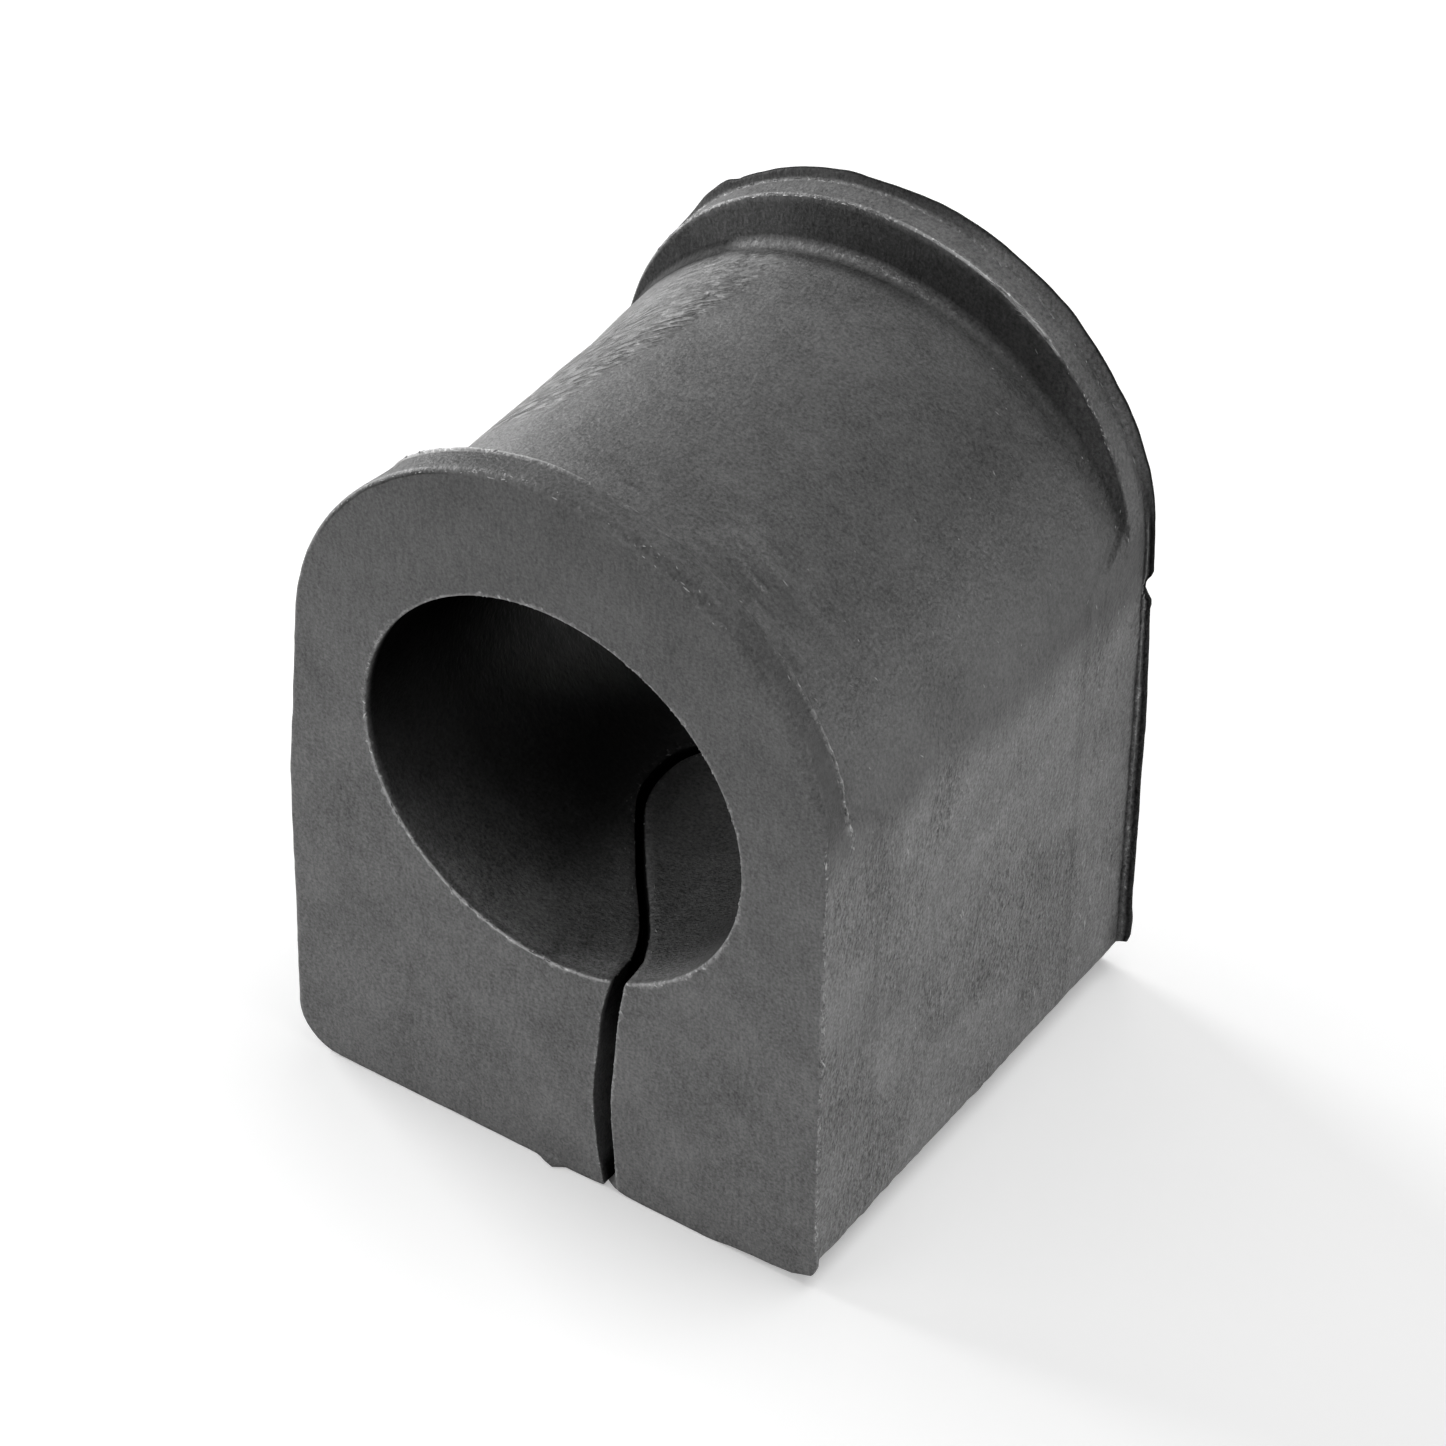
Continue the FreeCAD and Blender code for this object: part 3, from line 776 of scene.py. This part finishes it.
verts = body.reshape(-1, 3)
idx = np.arange(n_rows * n_ring).reshape(n_rows, n_ring)
quad = np.stack([idx[:-1], idx[1:], np.roll(idx[1:], -1, 1), np.roll(idx[:-1], -1, 1)], -1).reshape(-1, 4)
front_extra, front_faces = cap(body[0], CAP_SPACING[0], FRONT_Y, 200)
rear_extra, rear_faces = cap(body[-1], CAP_SPACING[1], REAR_Y, 300)
all_verts = np.concatenate([verts, front_extra, rear_extra])
n_extra = len(front_extra) + len(rear_extra)


def remap(faces, ring_start, extra_start):
    return [tuple(ring_start + v if v < n_ring else extra_start + v - n_ring for v in f) for f in faces]


faces = quad.tolist()
faces += remap(front_faces, 0, len(verts))
faces += remap(rear_faces, (n_rows - 1) * n_ring, len(verts) + len(front_extra))


def placed(name, data):
    thing = bpy.data.objects.new(name, data)
    bpy.context.scene.collection.objects.link(thing)
    return thing


def add_piece(name, points, faces, floats, smooth_shaded=True):
    """A piece of the object, with per-point values for its material."""
    mesh = bpy.data.meshes.new(name)
    mesh.from_pydata((points * MM).tolist(), [], faces)
    mesh.polygons.foreach_set("use_smooth", [smooth_shaded] * len(mesh.polygons))
    for key, values in floats.items():
        layer = mesh.attributes.new(key, "FLOAT", "POINT")
        layer.data.foreach_set("value", values.astype(np.float32))
    bm = bmesh.new()
    bm.from_mesh(mesh)
    bmesh.ops.recalc_face_normals(bm, faces=bm.faces)
    bm.to_mesh(mesh)
    bm.free()
    piece = placed(name, mesh)
    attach(piece, "root")
    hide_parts("rubber_bushing")
    return piece


def padded(values):
    """Values of the grid's points, with 0 for the end faces' own points."""
    return np.concatenate([values.reshape(-1), np.zeros(n_extra)])


streak = (0.14 * right_zone + 0.8 * pits) * (1 - 0.75 * over_line)
# painted light on the front face's inner points, lighter towards the foot
face_painted_light = lookup(FACE_PAINTED_LIGHT, front_extra[:, 2])
film_and_painted_light_values = np.concatenate([film_and_painted_light.reshape(-1), face_painted_light, np.ones(len(rear_extra))])
bushing = add_piece("bushing_body", all_verts, faces,
                    {"wear_and_highlight": padded(edge_wear_and_highlight), "painted_shade": padded(painted_shade), "wrinkle": padded(wrinkle),
                     "streak": padded(streak), "film_and_painted_light": film_and_painted_light_values})

# Flecks: tiny burrs of flash on the edges and the rough places
rng = np.random.default_rng(7)


def fleck_field(n, row_range, col_range, length, width, height, along_row=True):
    """n flecks: where they sit, their long direction, their normal and their sizes."""
    r = rng.uniform(*row_range, n)
    c = rng.uniform(*col_range, n)
    r0, c0 = np.floor(r).astype(int), np.floor(c).astype(int)
    fr, fc = (r - r0)[:, None], (c - c0)[:, None]
    r1 = np.minimum(r0 + 1, n_rows - 1)
    c1 = (c0 + 1) % n_ring
    spot = ((body[r0, c0] * (1 - fc) + body[r0, c1] * fc) * (1 - fr)
            + (body[r1, c0] * (1 - fc) + body[r1, c1] * fc) * fr)
    normal = normals[r0, c0]
    tangent = body[r0, c1] - body[r0, c0] if along_row else body[r1, c0] - body[r0, c0]
    tangent = tangent / np.maximum(np.linalg.norm(tangent, axis=1, keepdims=True), 1e-9)
    size = np.exp(rng.normal(0, 0.45, (n, 1)))
    return spot, tangent, normal, length * size, width * size ** 0.5, height * size ** 0.5


def fleck_mesh(fields):
    """Closed six-pointed burrs, sunk a little into the skin."""
    points, faces = [], []
    shape = ((1, 0, 0), (0, 1, 0.1), (-1, 0, 0), (0, -1, 0.1), (0.1, 0, 1), (0, 0, -0.8))
    sides = ((0, 1, 4), (1, 2, 4), (2, 3, 4), (3, 0, 4), (1, 0, 5), (2, 1, 5), (3, 2, 5), (0, 3, 5))
    for spot, tangent, normal, length, width, height in fields:
        turn = rng.normal(0, 0.25, (len(spot), 1))
        across = np.cross(normal, tangent)
        across /= np.maximum(np.linalg.norm(across, axis=1, keepdims=True), 1e-9)
        long_way = tangent * np.cos(turn) + across * np.sin(turn)
        across = np.cross(normal, long_way)
        corners = [spot + long_way * length * a + across * width * b + normal * height * c
                   for a, b, c in shape]
        start = sum(len(p) for p in points)
        points.append(np.stack(corners, 1).reshape(-1, 3))
        for k in range(len(spot)):
            faces += [tuple(start + 6 * k + v for v in side) for side in sides]
    return np.concatenate(points), faces


def around(low, high):
    """Range of the arch's points between two angles."""
    on_arch = (place >= START[3]) & (place < START[4])
    cols = np.nonzero((front_angle >= low) & (front_angle <= high) & on_arch)[0]
    return cols.min(), cols.max()


front_edge, rear_edge, rear_root = rows_of[FRONT_EDGE], rows_of[REAR_EDGE], rows_of[REAR_ROOT]
flank = START[2], START[3]
# Number, range of rows, range of points along them, length, width, height in millimetres, and
# False where they lie across the rows.
FLECKS = [
    (210, (0.2, 1.2), (first_bore, last_bore), 0.07, 0.03, 0.045),
    (70, (0.2, 1), (first_bore, first_bore + 45), 0.1, 0.035, 0.06),
    (40, (0.2, 1.4), (n_outer + 1, first_bore - 2), 0.06, 0.03, 0.04),
    (40, (0.2, 1.4), (last_bore + 2, n_ring - 2), 0.06, 0.03, 0.04),
    (150, (0.6, 3.2), (flank[0], flank[1] - 2), 0.12, 0.03, 0.05),
    (10, (0.6, 3.2), around(0, 8), 0.1, 0.03, 0.035),
    (60, (0.6, 3.2), around(105, 168), 0.08, 0.025, 0.03),
    (30, (0.6, 3.2), around(50, 104), 0.11, 0.028, 0.025),
    (80, (front_edge[0], front_edge[-1]), around(98, 150), 0.1, 0.03, 0.035),
    (90, (front_edge[0], front_edge[-1]), around(0, 26), 0.16, 0.035, 0.05),
    (150, (rear_edge[0], rear_edge[-1]), around(25, 150), 0.11, 0.03, 0.04),
    (60, (rear_root[2], rear_root[-2]), around(72, 98), 0.09, 0.035, 0.03),
    (90, (rear_edge[1], rear_edge[3]), around(48, 66), 0.3, 0.035, 0.03),
    (90, (last_band - 1.2, last_band + 0.6), around(20, 160), 0.12, 0.04, 0.05),
    (60, (4, n_rows - 20), (last_bore - 1, last_bore + 1), 0.09, 0.03, 0.04, False),
    (60, (4, n_rows - 20), (first_bore - 1, first_bore + 1), 0.09, 0.03, 0.04, False),
    (200, (8, n_rows - 12), (flank[0], flank[1] + 4), 0.12, 0.028, 0.022),
    (160, (12, n_rows - 12), (flank[0], flank[1] - 6), 0.22, 0.035, 0.028),
    (24, (n_rows - 6.4, n_rows - 5.6), (flank[0] + 4, flank[1]), 0.16, 0.04, 0.05),
    (50, (8, n_rows - 12), around(0, 60), 0.09, 0.022, 0.014),
]
fields = [fleck_field(*row) for row in FLECKS]
fleck_points, fleck_faces = fleck_mesh(fields)
flecks = add_piece("edge_flecks", fleck_points, fleck_faces, {}, False)


# Materials
def nodes_of(name):
    mat = bpy.data.materials.new(name)
    mat.use_nodes = True
    tree = mat.node_tree
    return mat, tree, tree.nodes["Principled BSDF"]


class Net:
    """Short way to add and join nodes."""

    def __init__(self, tree):
        self.tree = tree

    def add(self, kind, settings=None, **inputs):
        node = self.tree.nodes.new(kind)
        for key, value in (settings or {}).items():
            setattr(node, key, value)
        for key, value in inputs.items():
            self.give(node, key.replace("_", " "), value)
        return node

    def give(self, node, key, value):
        socket = node.inputs[int(key)] if key.isdigit() else node.inputs[key]
        if isinstance(value, bpy.types.NodeSocket):
            self.tree.links.new(value, socket)
        else:
            socket.default_value = value

    def math(self, operation, a, b, clamp=False):
        node = self.tree.nodes.new("ShaderNodeMath")
        node.operation = operation
        node.use_clamp = clamp
        self.give(node, "0", a)
        self.give(node, "1", b)
        return node.outputs[0]

    def plus(self, value, *others):
        for other in others:
            value = self.math("ADD", value, other)
        return value

    def times(self, a, b):
        return self.math("MULTIPLY", a, b)

    def noise(self, vector, scale, detail=2, roughness=0.5):
        node = self.add("ShaderNodeTexNoise", Vector=vector, Scale=scale, Detail=detail, Roughness=roughness)
        return node.outputs["Fac"]

    def spread(self, value, low, high, to_low, to_high):
        """Value, with the range low to high spread over to_low to to_high."""
        node = self.add("ShaderNodeMapRange", Value=value, From_Min=low, From_Max=high,
                        To_Min=to_low, To_Max=to_high)
        return node.outputs[0]

    def grey(self, tone):
        return self.add("ShaderNodeCombineColor", Red=tone, Green=tone, Blue=tone).outputs[0]

    def attribute(self, name):
        return self.add("ShaderNodeAttribute", {"attribute_name": name}).outputs["Fac"]


def stretched(net, vector, rotation, size):
    """Coordinates in which one unit is the size given, in metres along each turned axis."""
    node = net.add("ShaderNodeMapping", {"vector_type": "TEXTURE"},
                   Vector=vector, Rotation=rotation, Scale=size)
    return node.outputs[0]


def rubber():
    """Moulded black rubber: mottled grey-black, fine grain, streaks, pale worn edges, with painted light,
    shade and highlights.
    """
    mat, tree, shader = nodes_of("rubber")
    net = Net(tree)
    here = net.add("ShaderNodeTexCoord").outputs["Object"]
    wear_and_highlight, painted_shade = net.attribute("wear_and_highlight"), net.attribute("painted_shade")
    wrinkle, streak = net.attribute("wrinkle"), net.attribute("streak")

    blotch = net.noise(here, 230, 2, 0.55)
    small = net.noise(here, 1000, 3, 0.6)
    line = net.noise(stretched(net, here, (0, 0, 0), LINE_SIZE), 1, 2, 0.6)
    grain = net.noise(here, 5200, 2, 0.7)
    speck = net.noise(here, 4200, 1, 0.5)

    tone = net.plus(net.spread(blotch, 0.3, 0.7, -0.018, 0.018),
                    net.spread(small, 0.3, 0.7, -0.014, 0.014),
                    net.spread(line, 0.25, 0.75, -0.022, 0.022),
                    net.spread(grain, 0.3, 0.7, -0.045, 0.045))
    # strokes round the arch on the upper left, upright strokes on the right, their lit and shaded sides also
    # painted into the tone
    ridge = net.noise(stretched(net, here, WRINKLE_TURN, WRINKLE_SIZE), 1, 1, 0.45)
    score = net.noise(stretched(net, here, SCORE_TURN, SCORE_SIZE), 1, 2, 0.6)
    ridge_painted_shading = net.times(net.spread(ridge, 0.38, 0.6, -0.06, 0.075), wrinkle)
    score_painted_shading = net.times(net.spread(score, 0.32, 0.68, -0.027, 0.052), streak)
    tone = net.plus(tone, net.plus(ridge_painted_shading, score_painted_shading), BASE_TONE)
    # painted light and shade by region, with flow marks and mottling
    tone = net.times(tone, net.attribute("film_and_painted_light"))
    # pale specks on the worn edges and painted highlights, broken up along their length
    ragged = net.spread(net.noise(here, 2300, 3, 0.7), 0.42, 0.62, 0.15, 1)
    whole = net.math("SUBTRACT", wear_and_highlight, 1, True)
    ragged = net.math("MAXIMUM", ragged, whole)
    pale = net.times(net.times(wear_and_highlight, ragged), WEAR_AND_HIGHLIGHT_TONE)
    bright = net.times(net.spread(speck, 0.62, 0.72, 0, 0.25), wear_and_highlight)
    tone = net.plus(tone, net.plus(pale, bright))
    # painted shade darkens the tone
    dark = net.spread(painted_shade, 0, 1, 1, PAINTED_SHADE_TONE)
    tone = net.math("MINIMUM", net.times(tone, dark), PALEST)
    net.give(shader, "Base Color", net.grey(tone))
    net.give(shader, "Roughness", net.spread(small, 0.3, 0.7, 0.5, 0.66))

    # bump: grain and lumps everywhere, the ridges and the strokes
    ridge = net.times(net.spread(ridge, 0.4, 0.6, 0, 1), wrinkle)
    score = net.times(net.spread(score, 0.3, 0.72, 0, 1),
                      net.spread(streak, 0, 1.25, 0.1, 1.2))
    lumps = net.noise(here, 1500, 3, 0.6)
    height = net.plus(net.times(ridge, RIDGE_HEIGHT), net.times(score, SCORE_HEIGHT),
                      net.times(grain, GRAIN_HEIGHT), net.times(lumps, LUMP_HEIGHT))
    bump = net.add("ShaderNodeBump", Strength=1, Distance=BUMP_UNIT, Height=height)
    net.give(shader, "Normal", bump.outputs[0])
    net.give(shader, "Specular IOR Level", net.spread(painted_shade, 0, 1, 0.5, 0))
    return mat


def fleck_rubber():
    """Thin torn flash, painted paler than the body as painted highlight for the light it catches."""
    mat, tree, shader = nodes_of("rubber_flecks")
    net = Net(tree)
    here = net.add("ShaderNodeTexCoord").outputs["Object"]
    tone = net.spread(net.noise(here, 1300, 2), 0.3, 0.7, 0.1, 0.5)
    net.give(shader, "Base Color", net.grey(tone))
    net.give(shader, "Roughness", net.spread(net.noise(here, 2600, 2), 0.3, 0.7, 0.45, 0.7))
    return mat


BASE_TONE = 0.108
WEAR_AND_HIGHLIGHT_TONE = 0.14         # added where wear and painted highlight is 1
PALEST = 0.85
PAINTED_SHADE_TONE = 0.25        # share of tone left where painted shade is 1
LINE_SIZE = (0.00022, 0.00022, 0.0008)         # of the strokes, in metres
SCORE_SIZE = (0.00025, 0.00025, 0.00045)
SCORE_TURN = (-0.2, 0, 0)
WRINKLE_SIZE = (0.00115, 0.00032, 0.0009)
WRINKLE_TURN = (Matrix.Rotation(math.radians(-32), 3, "Y")
                @ Matrix.Rotation(math.radians(18), 3, "Z")).to_euler()
BUMP_UNIT = 0.0001       # metres of bump to 1 of height
RIDGE_HEIGHT, SCORE_HEIGHT, GRAIN_HEIGHT, LUMP_HEIGHT = 2.7, 2.7, 0.25, 0.6
bushing.data.materials.append(rubber())
flecks.data.materials.append(fleck_rubber())

# Floor and world: white to the camera, plain to the object
FLOOR_HALF = 3.0
FLOOR_TONE = 0.85
FLOOR_LIFT = 0.35        # how far the camera sees it lifted towards white, near the object
WHITE_FROM, WHITE_AT = 0.16, 0.45     # distances over which that rises to full white, in metres
floor_mesh = bpy.data.meshes.new("floor")
floor_corners = [(FLOOR_HALF * sx, FLOOR_HALF * sy, FOOT_Z * MM)
                 for sx, sy in ((-1, -1), (1, -1), (1, 1), (-1, 1))]
floor_mesh.from_pydata(floor_corners, [], [(0, 1, 2, 3)])
floor = placed("floor", floor_mesh)
mat, tree, shader = nodes_of("floor_white")
net = Net(tree)
net.give(shader, "Base Color", (FLOOR_TONE, FLOOR_TONE, FLOOR_TONE, 1))
net.give(shader, "Roughness", 0.9)
net.give(shader, "Specular IOR Level", 0)
net.give(shader, "Emission Color", (1, 1, 1, 1))
spot = net.add("ShaderNodeSeparateXYZ", Vector=net.add("ShaderNodeTexCoord").outputs["Object"]).outputs
away = net.plus(net.times(spot[0], spot[0]), net.times(spot[1], spot[1]))
lift = net.spread(away, WHITE_FROM ** 2, WHITE_AT ** 2, FLOOR_LIFT, 1)
rays = net.add("ShaderNodeLightPath")
net.give(shader, "Emission Strength", net.times(rays.outputs["Is Camera Ray"], lift))
floor_mesh.materials.append(mat)

WORLD_LIGHT = 0.04       # strength of the world on the object
world = bpy.data.worlds.new("studio")
bpy.context.scene.world = world
world.use_nodes = True
net = Net(world.node_tree)
background = world.node_tree.nodes["Background"]
rays = net.add("ShaderNodeLightPath")
net.give(background, "Strength", net.math("MAXIMUM", rays.outputs["Is Camera Ray"], WORLD_LIGHT))
net.give(background, "Color", (1, 1, 1, 1))

# Lights: name, azimuth from the front towards +X, height angle, width, height (m), watts
LIGHTS = [
    ("left_low", 266, 12, 0.35, 0.35, 5.3),
    ("left_back", 216, 42, 0.35, 0.35, 0.35),
    ("right_top", 120, 75, 0.35, 0.35, 1.65),
    ("front_left", 324, 42, 0.35, 0.35, 0.45),
    ("front_strip", 350, 1, 0.3, 0.068, 1.1),
    ("right_strip", 95, 1, 0.3, 0.068, 0.8),
    ("right_back_strip", 120, 1, 0.3, 0.068, 0.9),
]
LIGHT_DISTANCE = 0.6
for name, azimuth, rise, wide, tall, watts in LIGHTS:
    data = bpy.data.lights.new(name, "AREA")
    data.shape = "RECTANGLE"
    data.size, data.size_y = wide, tall
    data.energy = watts
    lamp = placed(name, data)
    a, e = math.radians(azimuth), math.radians(rise)
    towards = Vector((math.sin(a) * math.cos(e), -math.cos(a) * math.cos(e), math.sin(e)))
    lamp.location = towards * LIGHT_DISTANCE
    lamp.rotation_euler = towards.to_track_quat("Z", "Y").to_euler()
    lamp.visible_camera = False

# Camera: place in millimetres, angles in radians, lens in millimetres for a 36 mm sensor
CAMERA_AT = (134.98, -202.89, 202.10)
AZIMUTH, ELEVATION, ROLL = 0.58597, 0.70734, 0.01496
LENS = 146.49
cam = placed("camera", bpy.data.cameras.new("camera"))
turn = (Matrix.Rotation(AZIMUTH, 4, "Z") @ Matrix.Rotation(math.pi / 2 - ELEVATION, 4, "X")
        @ Matrix.Rotation(ROLL, 4, "Z"))
cam.matrix_world = Matrix.Translation(Vector(CAMERA_AT) * MM) @ turn
cam.data.lens = LENS
cam.data.sensor_width = 36.0
cam.data.clip_start = 0.01
bpy.context.scene.camera = cam
bpy.context.scene.view_settings.view_transform = "Standard"
